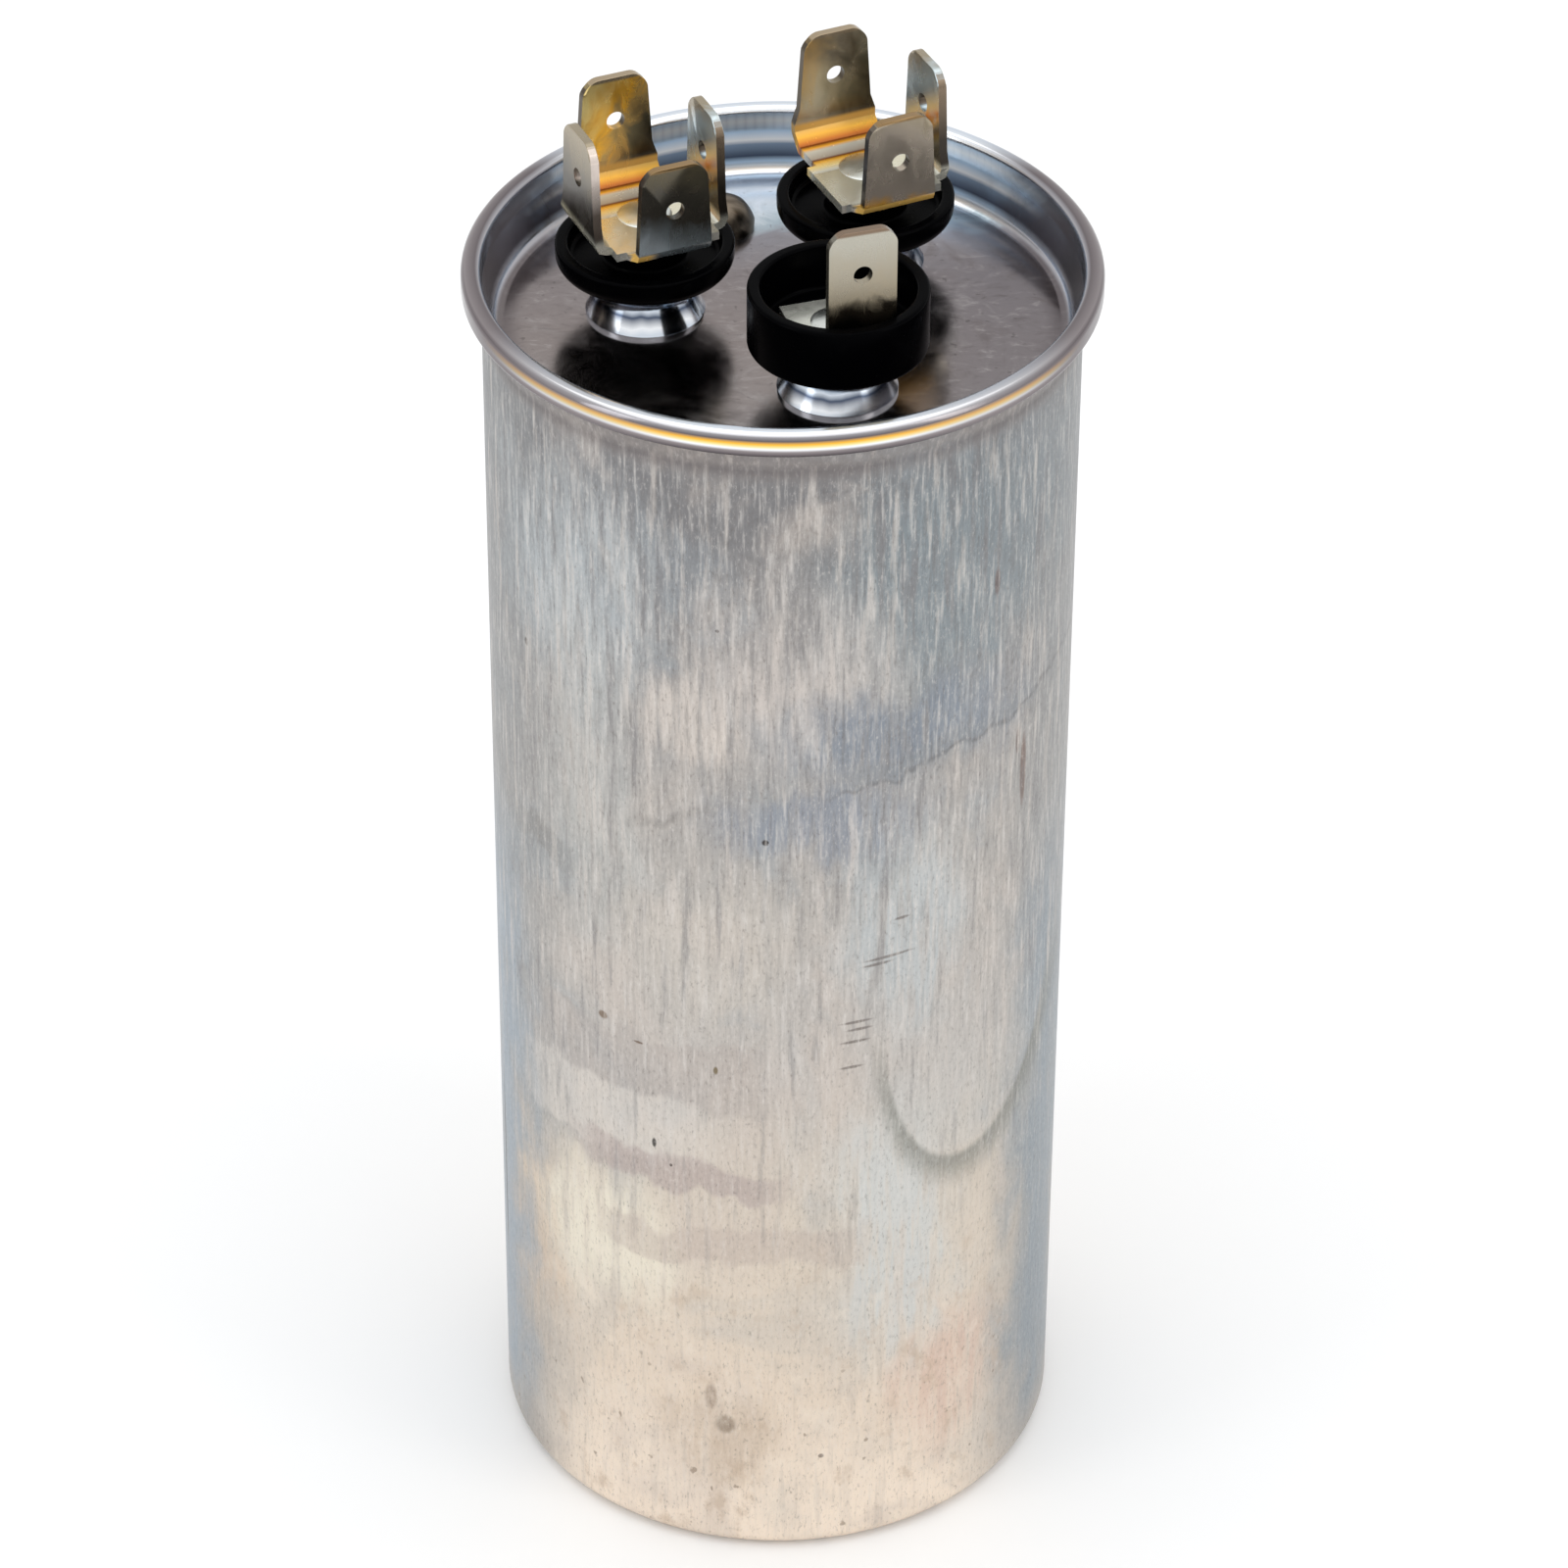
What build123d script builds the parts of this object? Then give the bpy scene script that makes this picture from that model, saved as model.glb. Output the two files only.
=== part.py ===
"""Round dual motor run capacitor: a drawn can with a lid rolled onto it, three riveted blade terminals
in moulded insulating cups, a soldered fill plug, and the film winding and its leads inside.

Millimetres, +Z up, origin at the centre of the can's floor. The front of the can is -Y.
"""

from build123d import *
import math
import os

# Can and its rolled seam
CAN_RADIUS = 27.5
CAN_HEIGHT = 133.0
CAN_WALL = 0.4
CAN_FLOOR = 0.6
CAN_CORNER = 1.8
FLARE_STEP = 0.7
FLARE_HEIGHT = 2.4
SEAM_HEIGHT = 2.4
SEAM_STEP = 1.1
SEAM_EDGE = 0.6
SEAM_GAP = 0.03

# Lid, with a drawn collar under each terminal
LID_SHEET = 0.3
LID_DEPTH = 6.2
LID_FILLET = 1.2
COLLAR_RADIUS = 4.3
COLLAR_HEIGHT = 4.7
COLLAR_FILLET = 0.5

# Solder dome on the lid
PLUG_RADIUS = 3.0
PLUG_HEIGHT = 3.0
PLUG_CIRCLE = 0.6255 * CAN_RADIUS
PLUG_ANGLE = 109.0

# Terminals: three on one circle, a third of a turn apart
TERMINAL_CIRCLE = 0.46 * CAN_RADIUS
TERMINAL_SHEET = 0.8
TERMINAL_BEND = 0.8
BLADE_WIDTH = 6.35
ROOT_WIDTH = 8.2
SHOULDER_START = 1.3
SHOULDER_END = 2.8
TIP_CUT = 1.1
DETENT_RADIUS = 0.88
DETENT_DROP = 4.5
FRONT_REACH = 6.8
SIDE_REACH = 6.1
BACK_REACH = 7.05
FRONT_HEIGHT = 9.6
SIDE_HEIGHT = 10.7
BACK_HEIGHT = 11.5
BACK_RISE = 1.3
BASE_WIDTH = 10.0
BASE_FRONT = 5.5
BASE_BACK = 2.0
RAISED_SEAT = 4.6

# Moulded cups: two dishes with a hub, and the fan terminal's deep cup
CUP_RADIUS = 8.2
CUP_WALL = 1.2
DISH_HEIGHT = 2.75
DISH_FLOOR = 1.1
DISH_BEVEL = 0.5
HUB_RADIUS = 3.5
DEEP_CUP_HEIGHT = 6.0
DEEP_CUP_FLOOR = 1.5
CUP_INNER = CUP_RADIUS - CUP_WALL

# Fan terminal, which stands inside the deep cup
FAN_HEIGHT = 13.2
FAN_ROOT_WIDTH = 7.0
FAN_SHIFT = 0.45
FAN_ROOM = 0.3
FAN_TAIL = 0.557 * CUP_INNER
FAN_BASE_WIDTH = 1.23 * CUP_INNER
FAN_CORNER = FAN_ROOT_WIDTH / 2 + FAN_SHIFT
FAN_REACH = math.sqrt((CUP_INNER - FAN_ROOM) ** 2 - FAN_CORNER ** 2) - TERMINAL_SHEET / 2

# Rivets and the insulating washers under the lid
RIVET_RADIUS = 1.75
RIVET_HEAD_RADIUS = 2.5
RIVET_HEAD = 0.75
FIT_GAP = 0.05
WASHER_SIDE = 11.0
WASHER_HEIGHT = 1.4

# Winding, leads and insulating card in the can
WINDING_ROOM = 1.5
HEADSPACE = 15.0
CARD_HEIGHT = 2.0
CARD_ROOM = 0.3
LEAD_WIDTH = 4.0
LEAD_SHEET = 0.4
LEAD_BEND = 0.8
LEAD_END = 2.2
LEAD_FOOT = 3.0
FAN_LANDING = 0.32 * CAN_RADIUS
COMPRESSOR_LANDING = 0.636 * CAN_RADIUS

# Levels worked out from the sizes above
SEAM_FOOT = CAN_HEIGHT - SEAM_HEIGHT
FLARE_FOOT = SEAM_FOOT - FLARE_HEIGHT
LID_TOP = CAN_HEIGHT - LID_DEPTH
LID_UNDER = LID_TOP - LID_SHEET
CUP_SEAT = LID_TOP + COLLAR_HEIGHT
WASHER_UNDER = LID_UNDER - WASHER_HEIGHT
WINDING_FOOT = CAN_FLOOR + CARD_HEIGHT
WINDING_TOP = LID_TOP - HEADSPACE

# Radii worked out from the sizes above
CAN_INNER = CAN_RADIUS - CAN_WALL
MOUTH_OUT = CAN_RADIUS + FLARE_STEP
MOUTH_IN = MOUTH_OUT - CAN_WALL
CHUCK_OUT = MOUTH_IN - SEAM_GAP
CHUCK_IN = CHUCK_OUT - LID_SHEET
SEAM_OUT = MOUTH_OUT + SEAM_STEP
WINDING_RADIUS = CAN_INNER - WINDING_ROOM
COMMON_LANDING = WINDING_RADIUS + LEAD_BEND + LEAD_SHEET / 2
BORE_RADIUS = RIVET_RADIUS + FIT_GAP
COLLAR_BORE = COLLAR_RADIUS - LID_SHEET

# Each terminal: its place on the circle, the turn of its blades, its seat above the collar and
# which blades it has
FRONT, RIGHT, BACK, LEFT = -90, 0, 90, 180
TERMINALS = {
    "common": {"angle": 173.2, "turn": 24.0, "seat": RAISED_SEAT, "sides": (FRONT, RIGHT, BACK, LEFT)},
    "compressor": {"angle": 53.2, "turn": 25.0, "seat": RAISED_SEAT, "sides": (FRONT, RIGHT, BACK)},
    "fan": {"angle": -66.8, "turn": 18.0, "seat": DEEP_CUP_FLOOR, "sides": (FRONT,)},
}


def eased(before, corner, after, radius, flats):
    """Points of a corner rounded to this radius in a number of flats."""
    corner = Vector(*corner)
    start = (Vector(*before) - corner).normalized()
    end = (Vector(*after) - corner).normalized()
    half = math.radians(start.get_angle(end)) / 2
    centre = corner + (start + end).normalized() * (radius / math.sin(half))
    first = corner + start * (radius / math.tan(half)) - centre
    sweep_angle = math.degrees(math.pi - 2 * half)
    side = 1 if start.cross(end).Z < 0 else -1
    steps = [side * sweep_angle * step / flats for step in range(flats + 1)]
    return [tuple(centre + first.rotate(Axis.Z, step))[:2] for step in steps]


def turned(*corners):
    """Turn a closed outline about Z. A corner is a radius and a height, and may add a rounding and its flats."""
    points = []
    for index, corner in enumerate(corners):
        if len(corner) == 2:
            points.append(corner)
            continue
        before = corners[index - 1][:2]
        after = corners[(index + 1) % len(corners)][:2]
        points.extend(eased(before, corner[:2], after, corner[2], corner[3]))
    return revolve(Plane.XZ * make_face(Polyline(*points, close=True)), Axis.Z)


def beside(route, distance):
    """Line of points at this distance to the left of another, with mitred corners."""
    headings = [(end - start).normalized() for start, end in zip(route, route[1:])]
    before = [headings[0], *headings]
    after = [*headings, headings[-1]]
    points = []
    for point, arriving, leaving in zip(route, before, after):
        middle = (arriving + leaving).normalized()
        points.append(point + middle.rotate(Axis.Z, 90) * (distance / middle.dot(arriving)))
    return points


def bent_strip(points, bend, width, sheet, flats=2):
    """Flat strip of sheet bent along a line of points in the XZ plane, each bend in a few flats."""
    route = [points[0]]
    for before, corner, after in zip(points, points[1:], points[2:]):
        route.extend(eased(before, corner, after, bend, flats))
    route = [Vector(*point) for point in [*route, points[-1]]]
    edge = [*beside(route, sheet / 2), *reversed(beside(route, -sheet / 2))]
    return extrude(Plane.XZ * make_face(Polyline(*edge, close=True)), width / 2, both=True)


def place(terminal):
    """Centre line of a terminal, at the level of the can's floor."""
    return Rot(Z=terminal["angle"]) * Pos(TERMINAL_CIRCLE, 0, 0)


def seat_level(terminal):
    """Underside of a terminal's base."""
    return CUP_SEAT + terminal["seat"]


def can_corner_inside():
    """Leg of the bevel inside the can's lower corner that keeps the sheet even."""
    sheet = (CAN_WALL + CAN_FLOOR) / 2
    return 2 * CAN_CORNER - CAN_WALL - CAN_FLOOR - math.sqrt(2) * (CAN_CORNER - sheet)


def can():
    """Drawn can: flat floor, straight wall and the flared mouth that the lid is rolled onto."""
    bevel = can_corner_inside()
    return turned(
        (0, 0),
        (CAN_RADIUS, 0, CAN_CORNER, 2),
        (CAN_RADIUS, FLARE_FOOT),
        (MOUTH_OUT, SEAM_FOOT),
        (MOUTH_IN, SEAM_FOOT),
        (CAN_INNER, FLARE_FOOT),
        (CAN_INNER, CAN_FLOOR + bevel),
        (CAN_INNER - bevel, CAN_FLOOR),
        (0, CAN_FLOOR),
    )


def lid():
    """Pressed lid: sunk panel with collars, a chuck wall that lies along the can's flare, and the rolled
    seam as one bead on the can's edge."""
    slope = FLARE_STEP / FLARE_HEIGHT
    chuck_foot = CHUCK_IN - slope * (SEAM_FOOT - LID_TOP)
    under_foot = CHUCK_OUT - slope * (SEAM_FOOT - LID_UNDER)
    sheet = turned(
        (0, LID_TOP),
        (chuck_foot, LID_TOP, LID_FILLET, 1),
        (CHUCK_IN, SEAM_FOOT),
        (CHUCK_IN, CAN_HEIGHT, SEAM_EDGE, 1),
        (SEAM_OUT, CAN_HEIGHT, SEAM_EDGE, 1),
        (SEAM_OUT, SEAM_FOOT),
        (CHUCK_OUT, SEAM_FOOT),
        (under_foot, LID_UNDER),
        (0, LID_UNDER),
    )
    foot = COLLAR_RADIUS + COLLAR_FILLET + LID_SHEET
    collar = turned(
        (COLLAR_BORE, LID_UNDER),
        (foot, LID_UNDER),
        (foot, LID_TOP),
        (COLLAR_RADIUS, LID_TOP, COLLAR_FILLET, 1),
        (COLLAR_RADIUS, CUP_SEAT),
        (COLLAR_BORE, CUP_SEAT),
    )
    hole = Pos(0, 0, LID_TOP) * Cylinder(COLLAR_RADIUS, LID_DEPTH)
    for terminal in TERMINALS.values():
        sheet = sheet - place(terminal) * hole + place(terminal) * collar
    return sheet


def fill_plug():
    """Solder dome that closes the lid where the can was filled."""
    dome = 0.6 * min(PLUG_RADIUS, PLUG_HEIGHT)
    shape = turned((0, 0), (PLUG_RADIUS, 0), (PLUG_RADIUS, PLUG_HEIGHT, dome, 1), (0, PLUG_HEIGHT))
    return Rot(Z=PLUG_ANGLE) * Pos(PLUG_CIRCLE, 0, LID_TOP) * shape


def dish_cup(terminal):
    """Shallow moulded cup that stands on the collar, with the hub that carries the terminal."""
    rim = CUP_SEAT + DISH_HEIGHT
    floor = CUP_SEAT + DISH_FLOOR
    return place(terminal) * turned(
        (BORE_RADIUS, CUP_SEAT),
        (CUP_RADIUS - DISH_BEVEL, CUP_SEAT),
        (CUP_RADIUS, CUP_SEAT + DISH_BEVEL),
        (CUP_RADIUS, rim),
        (CUP_INNER, rim),
        (CUP_INNER, floor),
        (HUB_RADIUS, floor),
        (HUB_RADIUS, seat_level(terminal)),
        (BORE_RADIUS, seat_level(terminal)),
    )


def deep_cup(terminal):
    """Deep moulded cup that stands on the collar, with the terminal on its floor."""
    rim = CUP_SEAT + DEEP_CUP_HEIGHT
    return place(terminal) * turned(
        (BORE_RADIUS, CUP_SEAT),
        (CUP_RADIUS, CUP_SEAT),
        (CUP_RADIUS, rim),
        (CUP_INNER, rim),
        (CUP_INNER, seat_level(terminal)),
        (BORE_RADIUS, seat_level(terminal)),
    )


def blade(reach, height, root_width=ROOT_WIDTH, rise=0.0):
    """One blade with its share of the base, pointing along +X: folded up, with a flared root,
    cut tip corners and a detent hole. With a rise it climbs a 45 degree ramp before the fold."""
    middle = TERMINAL_SHEET / 2
    ramp = [(reach - rise, middle)] if rise else []
    bend = TERMINAL_BEND / 2 if rise else TERMINAL_BEND
    points = [(0, middle), *ramp, (reach, middle + rise), (reach, height)]
    strip = bent_strip(points, bend, root_width, TERMINAL_SHEET)
    root, half = root_width / 2, BLADE_WIDTH / 2
    right_side = [
        (root, 0),
        (root, rise + SHOULDER_START),
        (half, rise + SHOULDER_END),
        (half, height - TIP_CUT),
        (half - TIP_CUT, height),
    ]
    left_side = [(-y, z) for y, z in reversed(right_side)]
    outline = make_face(Polyline(*right_side, *left_side, close=True))
    shape = strip & extrude(Plane.YZ * outline, reach + TERMINAL_SHEET)
    detent = Rot(Y=90) * Cylinder(DETENT_RADIUS, 2 * TERMINAL_SHEET)
    return shape - Pos(reach, 0, height - DETENT_DROP) * detent


def base_plate(width, front, back):
    """Flat base of a terminal, from this far in front of its rivet to this far behind it."""
    return Pos(0, (back - front) / 2, TERMINAL_SHEET / 2) * Box(width, front + back, TERMINAL_SHEET)


def finish_terminal(terminal, sheet):
    """Bore the base, turn the blades and set the terminal on its hub."""
    sheet = sheet - Cylinder(BORE_RADIUS, 4 * TERMINAL_SHEET)
    centre = place(terminal).position
    return Pos(centre.X, centre.Y, seat_level(terminal)) * Rot(Z=terminal["turn"]) * sheet


def folded_terminal(terminal):
    """Terminal with every blade folded up from one base, which is a little wider than their roots."""
    blades = {
        FRONT: blade(FRONT_REACH, FRONT_HEIGHT),
        RIGHT: blade(SIDE_REACH, SIDE_HEIGHT),
        BACK: blade(BACK_REACH, BACK_HEIGHT, rise=BACK_RISE),
        LEFT: blade(SIDE_REACH, SIDE_HEIGHT),
    }
    sheet = base_plate(BASE_WIDTH, BASE_FRONT, BASE_BACK)
    for side in terminal["sides"]:
        sheet = sheet + Rot(Z=side) * blades[side]
    return finish_terminal(terminal, sheet)


def fan_terminal(terminal):
    """Fan terminal: one tall blade, folded up from the front of a plain base in the deep cup."""
    base = base_plate(FAN_BASE_WIDTH, FAN_REACH / 2, FAN_TAIL)
    upright = Rot(Z=FRONT) * blade(FAN_REACH, FAN_HEIGHT, FAN_ROOT_WIDTH)
    return finish_terminal(terminal, base + Pos(FAN_SHIFT, 0, 0) * upright)


def rivet(terminal):
    """Rivet through the base, the cup, the collar and the washer, down to the lead soldered to its end."""
    top = seat_level(terminal) + TERMINAL_SHEET
    return place(terminal) * turned(
        (0, top + RIVET_HEAD),
        (RIVET_HEAD_RADIUS, top + RIVET_HEAD),
        (RIVET_HEAD_RADIUS, top),
        (RIVET_RADIUS, top),
        (RIVET_RADIUS, WASHER_UNDER),
        (0, WASHER_UNDER),
    )


def washer(terminal):
    """Square insulating washer between the lid and the lead."""
    plate = Box(WASHER_SIDE, WASHER_SIDE, WASHER_HEIGHT) - Cylinder(BORE_RADIUS, WASHER_HEIGHT)
    return place(terminal) * Pos(0, 0, LID_UNDER - WASHER_HEIGHT / 2) * plate


def lead(terminal, landing, level, foot):
    """Tinned ribbon from the rivet's lower end, down at the landing's radius, with a foot at this level.
    Its upper end runs past the rivet on the side away from the landing."""
    top = WASHER_UNDER - LEAD_SHEET / 2
    away = math.copysign(LEAD_END, TERMINAL_CIRCLE - landing)
    points = [(TERMINAL_CIRCLE + away, top), (landing, top), (landing, level), (landing + foot, level)]
    return Rot(Z=terminal["angle"]) * bent_strip(points, LEAD_BEND, LEAD_WIDTH, LEAD_SHEET, flats=1)


def film_winding():
    """Roll of metallised film with sprayed ends."""
    height = WINDING_TOP - WINDING_FOOT
    return Pos(0, 0, WINDING_FOOT + height / 2) * Cylinder(WINDING_RADIUS, height)


def insulating_card(terminal):
    """Six-sided card under the winding. One of its sides leaves room for the common lead's foot."""
    corner = CAN_INNER - can_corner_inside() - CARD_ROOM
    card = extrude(RegularPolygon(corner, 6), CARD_HEIGHT)
    return Rot(Z=terminal["angle"] + 30) * Pos(0, 0, CAN_FLOOR) * card


def main():
    common, compressor, fan = TERMINALS["common"], TERMINALS["compressor"], TERMINALS["fan"]
    on_top = WINDING_TOP + LEAD_SHEET / 2
    below = WINDING_FOOT - LEAD_SHEET / 2
    nodes = {
        "can": can(),
        "lid": lid(),
        "fill_plug": fill_plug(),
        "common_cup": dish_cup(common),
        "compressor_cup": dish_cup(compressor),
        "fan_cup": deep_cup(fan),
        "common_terminal": folded_terminal(common),
        "compressor_terminal": folded_terminal(compressor),
        "fan_terminal": fan_terminal(fan),
        "common_lead": lead(common, COMMON_LANDING, below, -LEAD_FOOT),
        "compressor_lead": lead(compressor, COMPRESSOR_LANDING, on_top, LEAD_FOOT),
        "fan_lead": lead(fan, FAN_LANDING, on_top, -LEAD_FOOT),
        "film_winding": film_winding(),
        "insulating_card": insulating_card(common),
    }
    for name, terminal in TERMINALS.items():
        nodes[f"{name}_rivet"] = rivet(terminal)
        nodes[f"{name}_washer"] = washer(terminal)
    os.makedirs("parts", exist_ok=True)
    for name, shape in nodes.items():
        export_step(shape, f"parts/{name}.step")


main()
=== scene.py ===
"""Looks of a round dual motor run capacitor: dull drawn aluminium can with water stains, polished tinplate
lid, plated brass blades on black moulded cups, and a solder plug. Sizes are in millimetres unless said."""

import math

import bmesh
import bpy
from mathutils import Matrix, Vector, noise


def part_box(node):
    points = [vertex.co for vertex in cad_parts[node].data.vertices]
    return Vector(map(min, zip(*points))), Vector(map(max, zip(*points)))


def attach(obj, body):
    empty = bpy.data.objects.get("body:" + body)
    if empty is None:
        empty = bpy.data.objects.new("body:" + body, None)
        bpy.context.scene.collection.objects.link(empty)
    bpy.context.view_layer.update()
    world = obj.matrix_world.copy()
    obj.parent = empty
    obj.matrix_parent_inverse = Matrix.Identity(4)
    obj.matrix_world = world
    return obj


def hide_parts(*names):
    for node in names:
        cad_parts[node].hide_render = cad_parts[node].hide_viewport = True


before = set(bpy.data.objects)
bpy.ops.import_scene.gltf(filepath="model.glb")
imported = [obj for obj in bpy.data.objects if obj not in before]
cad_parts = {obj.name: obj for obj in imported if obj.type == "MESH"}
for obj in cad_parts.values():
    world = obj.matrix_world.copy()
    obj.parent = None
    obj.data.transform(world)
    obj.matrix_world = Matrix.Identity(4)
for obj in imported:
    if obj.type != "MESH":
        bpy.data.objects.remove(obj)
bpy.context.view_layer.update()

MM = 0.001

# Sizes of the can and its seam
CAN_RADIUS = 27.5
CAN_HEIGHT = 133.0
CAN_WALL = 0.4
CAN_FLOOR = 0.6
CAN_CORNER = 1.8
FLOOR_ROUND = 1.2
FLARE_HEIGHT = 2.4
FLARE_STEP = 0.7
FLARE_ROUND = 2.0
SEAM_HEIGHT = 2.4
SEAM_STEP = 1.1
SEAM_GAP = 0.03
SEAM_EDGE = 0.7
SEAM_TOP_ROUND = 0.85
SEAM_FOOT_ROUND = 0.45
SEAM_FOOT = CAN_HEIGHT - SEAM_HEIGHT
FLARE_FOOT = SEAM_FOOT - FLARE_HEIGHT
MOUTH_OUT = CAN_RADIUS + FLARE_STEP
SEAM_OUT = MOUTH_OUT + SEAM_STEP

# Sizes of the lid and its collars
LID_DEPTH = 6.2
LID_SHEET = 0.3
LID_FILLET = 1.2
LID_TOP = CAN_HEIGHT - LID_DEPTH
CHUCK_FOOT = 26.36
CHUCK_ROUND = 1.5
CHUCK_OUT = MOUTH_OUT - CAN_WALL - SEAM_GAP
CHUCK_IN = CHUCK_OUT - LID_SHEET
COLLAR_RADIUS = 4.3
COLLAR_HEIGHT = 4.7
COLLAR_WAIST = 0.4
COLLAR_FOOT = 5.5
COLLAR_LIP = 0.3
COLLAR_LIP_ROUND = 0.15
COLLAR_BEND = 2.4
COLLAR_BEND_STEP = 0.25
COLLAR_BEND_ROUND = 2.2

# Sizes of the cups
CUP_SEAT = LID_TOP + COLLAR_HEIGHT
CUP_RADIUS = 8.2
CUP_WALL = 1.2
CUP_EDGE = 0.3
CUP_CREASE = 0.5
DISH_FLOOR = 1.1
DISH_HEIGHT = 2.75
DISH_ROUND = 1.6
DEEP_CUP_HEIGHT = 6.0
DEEP_CUP_FLOOR = 1.5
RAISED_SEAT = 4.6
HUB_RADIUS = 3.5
HUB_CREASE = 0.6
HUB_EDGE = 0.2
BORE_RADIUS = 1.8

# Sizes of the terminals and rivets
BLADE_SHEET = 0.8
BLADE_WIDTH = 6.35
ROOT_WIDTH = 8.2
FRONT_ROOT = 7.1
FOLD_WIDTH = 7.4
SHOULDER_START = 1.3
SHOULDER_END = 2.8
TIP_CUT = 1.1
TIP_ROUND = 0.5
TIP_EASE = 0.2
FRONT_REACH = 6.8
BACK_REACH = 7.05
FRONT_HEIGHT = 9.6
SIDE_HEIGHT = 10.7
BACK_HEIGHT = 11.5
BACK_RISE = 1.3
FAN_HEIGHT = 13.2
RIVET_RADIUS = 1.75
RIVET_HEAD_RADIUS = 2.5
RIVET_SET = 0.12
RIVET_EDGE = 0.3

# Nearness that counts as the same size
SAME = 0.02

# Solder: depth and pitch of its dents, and the share of its radius that is rounded
PLUG_DENT = 0.075
PLUG_WAVE = 0.45
PLUG_ROUND = 0.93

# Slope of the painted reflection bands on the front of the rolled edge: shares of the distance out and down
RIM_SLOPE = (0.588, 0.81)

# Turn of each terminal about its rivet, in degrees
TERMINALS = {"common": 24.0, "compressor": 25.0, "fan": 18.0}

# Sides of the turned pieces
WIDE_SIDES = 192
CUP_SIDES = 96
SMALL_SIDES = 64

# Camera, as the photograph was taken
PHOTO_SIZE = 1600
SENSOR = 36.0
FOCAL_PIXELS = 6635.8
CAMERA_AT = (0.0, -505.42, 443.0)
CAMERA_FORWARD = (0.0, 0.8077, -0.5896)
CAMERA_ROLL = math.radians(0.317)
CAMERA_CENTRE_X = 795.82

# Floor and surround: half the floor's side and its drop below the foot are in metres
FLOOR_HALF = 3.0
FLOOR_DROP = 0.0002
FLOOR_COLOUR = (0.96, 0.96, 0.96, 1.0)
FLOOR_ROUGHNESS = 0.9
SURROUND_COLOUR = (0.98, 0.99, 1.0, 1.0)
SURROUND_STRENGTH = 0.9

# Lights: name, place, target and size in metres, power and colour
LIGHTS = [
    ("top_soft", (0.0, -0.1, 1.3), (0, 0, 0.05), (1.6, 1.6), 5.0, (1.0, 1.0, 1.0)),
    ("left_soft", (-0.9, -0.5, 0.5), (0, 0, 0.08), (0.3, 0.9), 1.2, (0.93, 0.97, 1.0)),
    ("right_soft", (0.9, -0.5, 0.6), (0, 0, 0.08), (0.3, 0.9), 1.2, (1.0, 0.97, 0.93)),
]


def tone(red, green, blue):
    """Linear colour from the screen values of a colour, 0 to 255."""
    def linear(value):
        share = value / 255
        return ((share + 0.055) / 1.055) ** 2.4 if share > 0.04045 else share / 12.92

    return tuple(linear(value) for value in (red, green, blue))


# Colours of the bright tinplate, and of the reflections and shade painted on it
TIN_WHITE = tone(250, 252, 255)
TIN_PALE = tone(218, 226, 236)
TIN_ICE = tone(188, 216, 244)
TIN_SILVER = tone(176, 174, 178)
TIN_GREY = tone(148, 140, 141)
TIN_DULL = tone(114, 106, 108)
TIN_DARK = tone(84, 77, 81)
TIN_SLATE = tone(72, 84, 106)
TIN_HAZE = tone(136, 156, 180)
TIN_NIGHT = tone(40, 44, 52)

# Colours of the tinned brass, and of the reflections, glints and shade painted on it
BRASS_PLATE = tone(222, 222, 212)
BRASS_STRAW = tone(255, 228, 154)
BRASS_GOLD = tone(255, 190, 66)
BRASS_AMBER = tone(210, 118, 30)
BRASS_TAN = tone(198, 162, 100)
BRASS_BEIGE = tone(190, 178, 162)
BRASS_PUTTY = tone(160, 148, 126)
BRASS_OLIVE = tone(102, 94, 76)
BRASS_RED_BROWN = tone(118, 56, 22)
BRASS_UMBER = tone(56, 49, 40)
BRASS_SMOKE = tone(80, 76, 68)
BRASS_COOL = tone(184, 198, 204)
BRASS_ICE = tone(210, 227, 234)


def centre_of(node):
    """Centre of a node's box, seen from above, in millimetres."""
    low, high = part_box(node)
    return ((low[0] + high[0]) / 2 / MM, (low[1] + high[1]) / 2 / MM)


def rounded(corners, step=math.radians(9)):
    """Outline points with each corner that gives a radius rounded by an arc."""
    points = []
    for index, corner in enumerate(corners):
        here = Vector(corner[:2])
        radius = corner[2] if len(corner) > 2 else 0.0
        if radius <= 0:
            points.append(here)
            continue
        start = (Vector(corners[index - 1][:2]) - here).normalized()
        end = (Vector(corners[(index + 1) % len(corners)][:2]) - here).normalized()
        half = start.angle(end) / 2
        centre = here + (start + end).normalized() * (radius / math.sin(half))
        first = here + start * (radius / math.tan(half)) - centre
        sweep = math.pi - 2 * half
        side = 1 if start.x * end.y - start.y * end.x < 0 else -1
        count = max(2, math.ceil(sweep / step))
        for k in range(count + 1):
            turn = Matrix.Rotation(side * sweep * k / count, 2)
            points.append(centre + turn @ first)
    return points


def new_object(name, mesh, material, sharp=35.0):
    """Put a mesh in the scene with smooth shading up to this angle."""
    mesh.shade_smooth()
    mesh.set_sharp_from_angle(angle=math.radians(sharp))
    mesh.materials.append(material)
    piece = bpy.data.objects.new(name, mesh)
    bpy.context.scene.collection.objects.link(piece)
    return piece


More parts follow.
